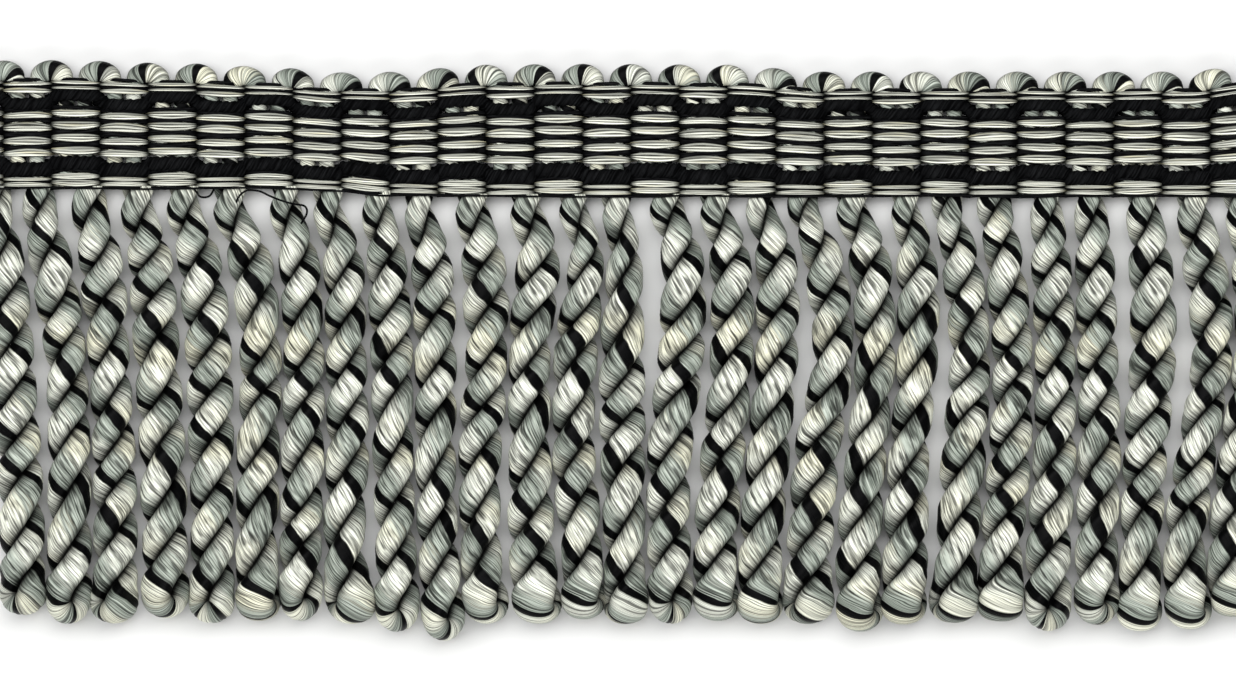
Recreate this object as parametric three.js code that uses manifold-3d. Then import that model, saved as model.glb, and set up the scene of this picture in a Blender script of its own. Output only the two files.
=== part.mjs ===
// Bullion fringe trim, a cut length lying face up on a flat surface, in millimetres.
// X runs along the trim, +Y points to its scalloped edge and +Z up from the surface.
// The origin is the middle of the heading's flat back.
import * as THREE from "three";
import { mergeVertices } from "three/addons/utils/BufferGeometryUtils.js";
import Module from "manifold-3d";

const wasm = await Module();
wasm.setup();

// Layout of the trim: one bullion hangs from each column of the heading.
const COLUMN_COUNT = 27;
const COLUMN_PITCH = 6.62;
const TRIM_LENGTH = COLUMN_COUNT * COLUMN_PITCH;
const MIDDLE_COLUMN = (COLUMN_COUNT - 1) / 2;
const CLEARANCE = 0.3;
const SAME_POINT = 1e-4;

// Heading: its rows are measured down from its top edge, and stretch with its height.
const HEADING_HEIGHT = 14.8;
const TAPE_EDGE_THICKNESS = 1.0;
const TAPE_VALLEY_THICKNESS = 2.1;
const TAPE_RIB_THICKNESS = 3.1;
const TAPE_GROOVE_THICKNESS = 1.1;
const TAPE_PINCH_DEPTH = 0.7;
const TAPE_STEPS_PER_COLUMN = 4;

// Ribbon rows of the heading, each a rib between two valleys.
const RIBBONS = [
  { row: "top selvage", from: 0.2, to: 1.3 },
  { row: "first", from: 4.2, to: 5.4 },
  { row: "second", from: 5.6, to: 7.2 },
  { row: "third", from: 7.4, to: 8.8 },
  { row: "fourth", from: 9.1, to: 10.5 },
  { row: "bottom selvage", from: 13.3, to: 14.7 },
];

// Dark cords that zigzag across the heading, each in a groove between two ribbons.
const CORD_RADIUS = 0.8;
const CORD_SIDES = 6;
const CORD_STEPS_PER_COLUMN = 2;
const CORD_LIFT = TAPE_GROOVE_THICKNESS + CLEARANCE + CORD_RADIUS;
const CORD_ROWS = [
  { name: "black_cord_upper", middle: 2.75, swing: 0.5 },
  { name: "black_cord_lower", middle: 11.9, swing: 0.5 },
];

// Scalloped edge: the weft cord turning over from the middle of one column to the next.
const SCALLOP_RISE = 2.5;
const SCALLOP_PINCH_RISE = 1.5;
const SCALLOP_DEPTH_RADIUS = 1.4;
const SCALLOP_LIFT = 1.7;
const SCALLOP_PINCH_DEPTH_SHARE = 0.75;
const SCALLOP_SIDES = 6;
const SCALLOP_STEPS_PER_COLUMN = 6;

// Bullions: a folded cord twisted back on itself, four sided here.
const BULLION_FULL_RADIUS = 3.1;
const BULLION_SIDE_ANGLE = THREE.MathUtils.degToRad(37);
const BULLION_STEPS = 34;
const HALF_TURN_LENGTH = 5.9;
const FIRST_TWIST = THREE.MathUtils.degToRad(20);
const ROOT_TAPER = { share: 0.8, length: 4 };
const TIP_TAPER = { share: 0.75, length: 2.4 };
const ROOT_STRIP_HEIGHT = 1.3;
const ROOT_STRIP_THICKNESS = 2.6;
const ROOT_STRIP_LIFT = 0.4;
const ROOT_STRIP_STEPS_PER_COLUMN = 2;
const ROOT_BURIED = 0.7;

// Heights of the heading's top and bottom edges above the origin, by column.
const HEADING_BOW = [
  { column: -0.5, top: 8.0, bottom: -6.7 },
  { column: 1.5, top: 8.1, bottom: -6.7 },
  { column: 4.5, top: 7.7, bottom: -6.7 },
  { column: 6, top: 7.3, bottom: -6.7 },
  { column: 7.5, top: 6.6, bottom: -7.1 },
  { column: 8.5, top: 6.6, bottom: -7.6 },
  { column: 10.5, top: 7.4, bottom: -7.8 },
  { column: 12.5, top: 7.5, bottom: -7.8 },
  { column: 15.5, top: 7.4, bottom: -7.8 },
  { column: 17.5, top: 6.6, bottom: -7.8 },
  { column: 25, top: 6.6, bottom: -7.8 },
  { column: 26.5, top: 7.7, bottom: -7.7 },
];

// Depths below the origin at which the sideways sway of each bullion is given.
const SWAY_DEPTHS = { root: 9.2, neck: 15.4, upper: 29.1, middle: 42.8, lower: 56.6 };

// Sideways sway of each bullion from the middle of its column, and the depth of its tip.
const BULLIONS = [
  { root: 2.2, neck: 3.2, upper: 4.4, middle: 5.4, lower: 6.0, end: 6.1, depth: 65.4 },
  { root: 1.7, neck: 3.0, upper: 5.2, middle: 5.8, lower: 5.8, end: 5.7, depth: 66.6 },
  { root: 1.9, neck: 3.3, upper: 4.5, middle: 5.3, lower: 5.5, end: 5.3, depth: 66.5 },
  { root: 1.9, neck: 3.5, upper: 4.5, middle: 5.3, lower: 5.7, end: 5.7, depth: 65.8 },
  { root: 1.6, neck: 3.5, upper: 5.0, middle: 5.4, lower: 5.5, end: 5.5, depth: 66.5 },
  { root: 1.7, neck: 4.4, upper: 5.5, middle: 5.2, lower: 5.0, end: 5.2, depth: 66.2 },
  { root: 2.3, neck: 4.0, upper: 4.8, middle: 4.7, lower: 4.4, end: 4.4, depth: 66.2 },
  { root: 1.5, neck: 3.4, upper: 4.0, middle: 4.2, lower: 3.8, end: 4.9, depth: 66.6 },
  { root: 1.6, neck: 2.8, upper: 3.6, middle: 3.8, lower: 4.2, end: 4.4, depth: 67.7 },
  { root: 1.1, neck: 2.9, upper: 3.0, middle: 3.0, lower: 3.4, end: 4.2, depth: 68.9 },
  { root: 1.8, neck: 3.4, upper: 3.4, middle: 2.5, lower: 2.6, end: 3.4, depth: 66.6 },
  { root: 2.2, neck: 3.8, upper: 2.7, middle: 2.7, lower: 3.0, end: 3.8, depth: 66.6 },
  { root: 2.0, neck: 3.8, upper: 2.4, middle: 2.1, lower: 3.2, end: 3.4, depth: 66.0 },
  { root: 1.7, neck: 3.0, upper: 2.1, middle: 2.2, lower: 2.4, end: 2.6, depth: 66.6 },
  { root: 1.6, neck: 3.6, upper: 3.6, middle: 2.0, lower: 1.9, end: 2.2, depth: 66.6 },
  { root: 2.0, neck: 4.1, upper: 3.9, middle: 2.7, lower: 1.6, end: 1.9, depth: 66.2 },
  { root: 1.6, neck: 3.8, upper: 3.4, middle: 2.3, lower: 1.2, end: 1.2, depth: 66.6 },
  { root: 0.8, neck: 3.5, upper: 4.5, middle: 2.4, lower: 1.3, end: 1.1, depth: 66.6 },
  { root: 0.9, neck: 3.3, upper: 3.7, middle: 2.5, lower: 1.4, end: 1.6, depth: 67.6 },
  { root: 1.2, neck: 2.6, upper: 2.9, middle: 1.7, lower: 1.2, end: 0.9, depth: 66.7 },
  { root: 0.5, neck: 2.3, upper: 3.4, middle: 2.6, lower: 1.6, end: 1.2, depth: 66.5 },
  { root: 0.4, neck: 1.6, upper: 2.6, middle: 2.3, lower: 1.1, end: 1.0, depth: 66.3 },
  { root: 0.7, neck: 1.2, upper: 1.8, middle: 1.8, lower: 0.9, end: 0.9, depth: 67.6 },
  { root: 0.1, neck: 0.6, upper: 1.0, middle: 1.3, lower: 0.9, end: 0.9, depth: 66.7 },
  { root: 0.7, neck: 1.6, upper: 2.0, middle: 1.0, lower: 0.3, end: 0.2, depth: 67.6 },
  { root: 1.5, neck: 3.2, upper: 3.5, middle: 1.4, lower: -0.3, end: 0.4, depth: 67.3 },
  { root: 0.8, neck: 2.4, upper: 2.7, middle: 0.6, lower: -0.8, end: -0.3, depth: 65.6 },
];

const IVORY_YARN = new THREE.MeshStandardMaterial({
  color: 0xd9d8c6,
  roughness: 0.6,
  metalness: 0,
});
const MIXED_YARN = new THREE.MeshStandardMaterial({
  color: 0xa9aea4,
  roughness: 0.6,
  metalness: 0,
});
const BLACK_YARN = new THREE.MeshStandardMaterial({
  color: 0x121316,
  roughness: 0.8,
  metalness: 0,
});

function columnX(column) {
  return (column - MIDDLE_COLUMN) * COLUMN_PITCH;
}

function columnAt(x) {
  return x / COLUMN_PITCH + MIDDLE_COLUMN;
}

// A height of the heading's edge at x, eased between the rows of the bow table.
function bowedEdge(edge, x) {
  const column = columnAt(x);
  const next = HEADING_BOW.findIndex((row) => row.column >= column);
  if (next === 0) return HEADING_BOW[0][edge];
  if (next < 0) return HEADING_BOW[HEADING_BOW.length - 1][edge];
  const before = HEADING_BOW[next - 1];
  const after = HEADING_BOW[next];
  const share = THREE.MathUtils.smoothstep(column, before.column, after.column);
  return THREE.MathUtils.lerp(before[edge], after[edge], share);
}

// Y of a place on the heading that lies the given way down from its top edge.
function headingY(x, down) {
  return THREE.MathUtils.lerp(
    bowedEdge("top", x),
    bowedEdge("bottom", x),
    down / HEADING_HEIGHT,
  );
}

// An outline extruded in even steps, with shared vertices, each then put in its place.
// place() takes the outline's two coordinates and the way along, and gives a point.
function extrudedAndPlaced(outline, length, steps, place) {
  const extruded = new THREE.ExtrudeGeometry(new THREE.Shape(outline), {
    depth: length,
    steps,
    bevelEnabled: false,
  });
  extruded.deleteAttribute("normal");
  extruded.deleteAttribute("uv");
  const merged = mergeVertices(extruded, SAME_POINT);
  const points = merged.getAttribute("position");
  for (let i = 0; i < points.count; i += 1) {
    const placed = place(points.getX(i), points.getY(i), points.getZ(i));
    points.setXYZ(i, placed.x, placed.y, placed.z);
  }
  return merged;
}

// Corners of a regular outline of radius 1.
function polygonOutline(sides) {
  const outline = [];
  for (let side = 0; side < sides; side += 1) {
    const angle = (2 * Math.PI * side) / sides;
    outline.push(new THREE.Vector2(Math.cos(angle), Math.sin(angle)));
  }
  return outline;
}

function solidFrom(geometry) {
  const mesh = new wasm.Mesh({
    numProp: 3,
    vertProperties: geometry.getAttribute("position").array,
    triVerts: new Uint32Array(geometry.index.array),
  });
  return new wasm.Manifold(mesh);
}

function geometryFrom(solid) {
  const mesh = solid.getMesh();
  const geometry = new THREE.BufferGeometry();
  const points = new THREE.BufferAttribute(new Float32Array(mesh.vertProperties), 3);
  geometry.setAttribute("position", points);
  geometry.setIndex(new THREE.BufferAttribute(new Uint32Array(mesh.triVerts), 1));
  return geometry;
}

function namedMesh(name, geometry, material) {
  geometry.computeVertexNormals();
  const mesh = new THREE.Mesh(geometry, material);
  mesh.name = name;
  return mesh;
}

// Section of the heading from its top edge down, as (way down, height), flat at the back.
function tapeOutline() {
  const outline = [new THREE.Vector2(0, 0)];
  outline.push(new THREE.Vector2(0, TAPE_EDGE_THICKNESS));
  RIBBONS.forEach((ribbon, index) => {
    const next = RIBBONS[index + 1];
    const crest = (ribbon.from + ribbon.to) / 2;
    outline.push(new THREE.Vector2(crest, TAPE_RIB_THICKNESS));
    if (!next) return;
    const isGroove = next.from - ribbon.to > 2 * CORD_RADIUS;
    if (isGroove) {
      outline.push(new THREE.Vector2(ribbon.to, TAPE_GROOVE_THICKNESS));
      outline.push(new THREE.Vector2(next.from, TAPE_GROOVE_THICKNESS));
    } else {
      outline.push(new THREE.Vector2((ribbon.to + next.from) / 2, TAPE_VALLEY_THICKNESS));
    }
  });
  outline.push(new THREE.Vector2(HEADING_HEIGHT, TAPE_EDGE_THICKNESS));
  outline.push(new THREE.Vector2(HEADING_HEIGHT, 0));
  return outline;
}

// How far the ribs sink at x: fully between two columns and not at all in their middle.
function pinchAt(x) {
  return 0.5 - 0.5 * Math.cos(2 * Math.PI * columnAt(x));
}

function headingTape() {
  const steps = COLUMN_COUNT * TAPE_STEPS_PER_COLUMN;
  const geometry = extrudedAndPlaced(tapeOutline(), TRIM_LENGTH, steps, (down, height, along) => {
    const x = TRIM_LENGTH / 2 - along;
    const ribShare = Math.max(0, height - TAPE_GROOVE_THICKNESS)
      / (TAPE_RIB_THICKNESS - TAPE_GROOVE_THICKNESS);
    const sunk = TAPE_PINCH_DEPTH * ribShare * pinchAt(x);
    return new THREE.Vector3(x, headingY(x, down), height - sunk);
  });
  return namedMesh("heading_tape", geometry, IVORY_YARN);
}

// Way down of a dark cord's middle: lower in every other column.
function zigzagDown(row, x) {
  return row.middle - row.swing * Math.cos(Math.PI * (columnAt(x) - 1));
}

function blackCord(row) {
  const outline = polygonOutline(CORD_SIDES);
  const steps = COLUMN_COUNT * CORD_STEPS_PER_COLUMN;
  const geometry = extrudedAndPlaced(outline, TRIM_LENGTH, steps, (across, up, along) => {
    const x = TRIM_LENGTH / 2 - along;
    const down = zigzagDown(row, x) + CORD_RADIUS * across;
    return new THREE.Vector3(x, headingY(x, down), CORD_LIFT + CORD_RADIUS * up);
  });
  return namedMesh(row.name, geometry, BLACK_YARN);
}

// Height of the scalloped edge above the heading: highest between two columns.
function scallopRise(x) {
  const share = Math.sqrt(pinchAt(x));
  return THREE.MathUtils.lerp(SCALLOP_PINCH_RISE, SCALLOP_RISE, share);
}

function scallopEdge() {
  const outline = polygonOutline(SCALLOP_SIDES);
  const steps = COLUMN_COUNT * SCALLOP_STEPS_PER_COLUMN;
  const geometry = extrudedAndPlaced(outline, TRIM_LENGTH, steps, (across, up, along) => {
    const x = TRIM_LENGTH / 2 - along;
    const radius = (scallopRise(x) - CLEARANCE) / 2;
    const y = bowedEdge("top", x) + CLEARANCE + radius - radius * across;
    const depthShare = THREE.MathUtils.lerp(SCALLOP_PINCH_DEPTH_SHARE, 1, pinchAt(x));
    return new THREE.Vector3(x, y, SCALLOP_LIFT + SCALLOP_DEPTH_RADIUS * depthShare * up);
  });
  return namedMesh("scallop_edge", geometry, MIXED_YARN);
}

// Stations of one bullion's sway, as depth below the origin and sideways place.
function swayStations(bullion) {
  const stations = Object.entries(SWAY_DEPTHS).map(([name, depth]) => {
    return { depth, sway: bullion[name] };
  });
  stations.push({ depth: bullion.depth, sway: bullion.end });
  return stations;
}

// Slope of the sway at a station, from its neighbours, and level at either end.
function swaySlope(stations, index) {
  const before = stations[index - 1];
  const after = stations[index + 1];
  if (!before || !after) return 0;
  return (after.sway - before.sway) / (after.depth - before.depth);
}

// Sideways place of a bullion at a depth, on a smooth curve through its stations.
function swayAt(stations, depth) {
  const last = stations.length - 1;
  if (depth <= stations[0].depth) return stations[0].sway;
  if (depth >= stations[last].depth) return stations[last].sway;
  const next = stations.findIndex((station) => station.depth >= depth);
  const before = stations[next - 1];
  const after = stations[next];
  const span = after.depth - before.depth;
  const t = (depth - before.depth) / span;
  const fromSlope = swaySlope(stations, next - 1) * span;
  const toSlope = swaySlope(stations, next) * span;
  const fromShare = 2 * t ** 3 - 3 * t ** 2 + 1;
  const fromSlopeShare = t ** 3 - 2 * t ** 2 + t;
  const toShare = 3 * t ** 2 - 2 * t ** 3;
  const toSlopeShare = t ** 3 - t ** 2;
  return fromShare * before.sway + fromSlopeShare * fromSlope
    + toShare * after.sway + toSlopeShare * toSlope;
}

// Share of the full thickness at a way along a bullion, drawn in at its root and tip.
function bullionTaper(along, length) {
  const rootShare = THREE.MathUtils.smoothstep(along, 0, ROOT_TAPER.length);
  const tipShare = THREE.MathUtils.smoothstep(length - along, 0, TIP_TAPER.length);
  return THREE.MathUtils.lerp(ROOT_TAPER.share, 1, rootShare)
    * THREE.MathUtils.lerp(TIP_TAPER.share, 1, tipShare);
}

// Radius of a bullion at a depth: full, or less where a neighbour lies close beside it.
function bullionRadius(column, depth) {
  const sway = swayAt(swayStations(BULLIONS[column]), depth);
  const neighbours = [column - 1, column + 1].filter((other) => BULLIONS[other]);
  const spacings = neighbours.map((other) => {
    const apart = swayAt(swayStations(BULLIONS[other]), depth) - sway;
    return COLUMN_PITCH + apart * (other - column);
  });
  return Math.min(BULLION_FULL_RADIUS, (Math.min(...spacings) - CLEARANCE) / 2);
}

function bullionOutline() {
  const corners = [BULLION_SIDE_ANGLE, Math.PI - BULLION_SIDE_ANGLE,
    Math.PI + BULLION_SIDE_ANGLE, -BULLION_SIDE_ANGLE];
  return corners.map((angle) => new THREE.Vector2(Math.cos(angle), Math.sin(angle)));
}

// One bullion: its section turns to the right going up, and rests on the surface.
function bullionSolid(bullion, column) {
  const middle = columnX(column);
  const top = bowedEdge("bottom", middle) - CLEARANCE - ROOT_BURIED;
  const length = bullion.depth + top;
  const stations = swayStations(bullion);
  const geometry = extrudedAndPlaced(bullionOutline(), length, BULLION_STEPS, (a, b, along) => {
    const twist = FIRST_TWIST - (Math.PI * along) / HALF_TURN_LENGTH;
    const radius = bullionTaper(along, length) * bullionRadius(column, along - top);
    const across = radius * (a * Math.cos(twist) + b * Math.sin(twist));
    const up = radius * (b * Math.cos(twist) - a * Math.sin(twist));
    const sway = swayAt(stations, along - top);
    return new THREE.Vector3(middle + sway + across, top - along, radius + up);
  });
  return solidFrom(geometry);
}

// Narrow strip just under the heading that holds the roots of all the bullions.
function rootStripSolid() {
  const outline = [
    new THREE.Vector2(0, 0),
    new THREE.Vector2(0, ROOT_STRIP_THICKNESS),
    new THREE.Vector2(ROOT_STRIP_HEIGHT, ROOT_STRIP_THICKNESS),
    new THREE.Vector2(ROOT_STRIP_HEIGHT, 0),
  ];
  const steps = COLUMN_COUNT * ROOT_STRIP_STEPS_PER_COLUMN;
  const geometry = extrudedAndPlaced(outline, TRIM_LENGTH, steps, (down, up, along) => {
    const x = TRIM_LENGTH / 2 - along;
    const y = bowedEdge("bottom", x) - CLEARANCE - down;
    return new THREE.Vector3(x, y, ROOT_STRIP_LIFT + up);
  });
  return solidFrom(geometry);
}

function bullionSkirt() {
  const bullions = BULLIONS.map((bullion, column) => bullionSolid(bullion, column));
  const joined = bullions.reduce((skirt, bullion) => skirt.add(bullion), rootStripSolid());
  return namedMesh("bullion_skirt", geometryFrom(joined), MIXED_YARN);
}

const trim = new THREE.Group();
trim.add(headingTape());
CORD_ROWS.forEach((row) => trim.add(blackCord(row)));
trim.add(scallopEdge());
trim.add(bullionSkirt());

export default trim;
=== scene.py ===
"""Looks of a bullion fringe trim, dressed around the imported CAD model.

The trim is a woven heading with a row of twisted bullions below it. The weft is one thick cord
of three colours. It runs up and down through the heading, turns over in a scallop at the top edge,
and below the heading each turn of it is twisted back on itself to make a bullion. The warps are
flat ribbons of ivory yarn, thin dark yarns and two rows of thick black cord.

Lengths are in millimetres until a mesh is made. Depths are measured down from the origin, and
"down" is measured from the top edge of the heading.
"""

import logging
import math
from collections.abc import Callable
from dataclasses import dataclass, field
from enum import Enum

import bmesh
import bpy
import numpy as np
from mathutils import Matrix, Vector


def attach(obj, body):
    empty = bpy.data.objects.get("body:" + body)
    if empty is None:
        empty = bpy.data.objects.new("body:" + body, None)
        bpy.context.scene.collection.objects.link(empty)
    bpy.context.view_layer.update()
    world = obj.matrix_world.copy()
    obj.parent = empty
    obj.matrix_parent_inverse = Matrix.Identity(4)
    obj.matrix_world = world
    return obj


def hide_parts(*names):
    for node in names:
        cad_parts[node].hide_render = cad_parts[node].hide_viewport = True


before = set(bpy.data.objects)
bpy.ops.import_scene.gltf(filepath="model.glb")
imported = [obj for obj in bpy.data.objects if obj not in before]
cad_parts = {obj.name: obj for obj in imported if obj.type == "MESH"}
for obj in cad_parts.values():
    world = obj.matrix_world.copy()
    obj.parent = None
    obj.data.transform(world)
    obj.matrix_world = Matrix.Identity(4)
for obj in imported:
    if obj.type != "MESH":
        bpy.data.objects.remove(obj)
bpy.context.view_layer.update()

LOG = logging.getLogger("bullion_fringe")

MM = 0.001
COLUMN_COUNT = 27
COLUMN_PITCH = 6.62
MIDDLE_COLUMN = 13
HEADING_HEIGHT = 14.8
WEAVE_MIDDLE = 1.65
FIRST_CUT = -0.5
LAST_CUT = COLUMN_COUNT - 0.5
ABOVE_BENCH = 0.03
WARP_ABOVE_BENCH = 0.02
FULL_TURN = 2.0 * math.pi

# How far apart neighbouring yarns read the unevenness, in columns, so that no two are alike.
ROWS_APART = 5.3
SIDES_APART = 2.1
YARNS_APART = 3.1
WEFT_TUBES_APART = 9.7

# How far apart neighbouring yarns lie on the strand map, in millimetres along them.
WARP_STRANDS_APART = 31.0
WEFT_STRANDS_APART = 40.0
CORD_STRANDS_APART = 200.0

STRAND_MAP = "strand"
# Attribute that carries painted shade and highlight into the yarn colours, and how dark each yarn
# is.
SHADE_AND_TONE = "tone"
GRID_HALF = 0.5
WALL_CORNERS = 4
WELD_DISTANCE = 1e-7
COLOUR_MIX_INPUTS = (0, 6, 7)
COLOUR_MIX_OUTPUT = 2


class Over(Enum):
    """Which columns a warp passes over: the even ones, where the weave's wave is up, or the odd."""

    EVEN = 1.0
    ODD = -1.0


@dataclass(frozen=True)
class BowStation:
    """Heights of the heading's top and bottom edges above the origin at one column."""

    column: float
    top: float
    bottom: float


HEADING_BOW = (
    BowStation(-0.5, 8.0, -6.7),
    BowStation(1.5, 8.1, -6.7),
    BowStation(4.5, 7.7, -6.7),
    BowStation(6.0, 7.3, -6.7),
    BowStation(7.5, 6.6, -7.1),
    BowStation(8.5, 6.6, -7.6),
    BowStation(10.5, 7.4, -7.8),
    BowStation(12.5, 7.5, -7.8),
    BowStation(15.5, 7.4, -7.8),
    BowStation(17.5, 6.6, -7.8),
    BowStation(25.0, 6.6, -7.8),
    BowStation(26.5, 7.7, -7.7),
)


@dataclass(frozen=True)
class Bullion:
    """One bullion's place.

    The sway is the sideways offset from the middle of its column at the sway depths and at the
    tip. The valleys are the depths at which the two plies lie side by side. Black is where the
    black strand crosses the front of a ply above, between and below the valleys: 0 is in the
    middle, 0.5 at its upper right end and -0.5 at its lower left end. Swell widens the tip.
    """

    sway: tuple[float, ...]
    tip: float
    valleys: tuple[float, ...]
    black: tuple[float, ...]
    swell: float = 1.14


SWAY_DEPTHS = (9.2, 15.4, 29.1, 42.8, 56.6)

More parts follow.
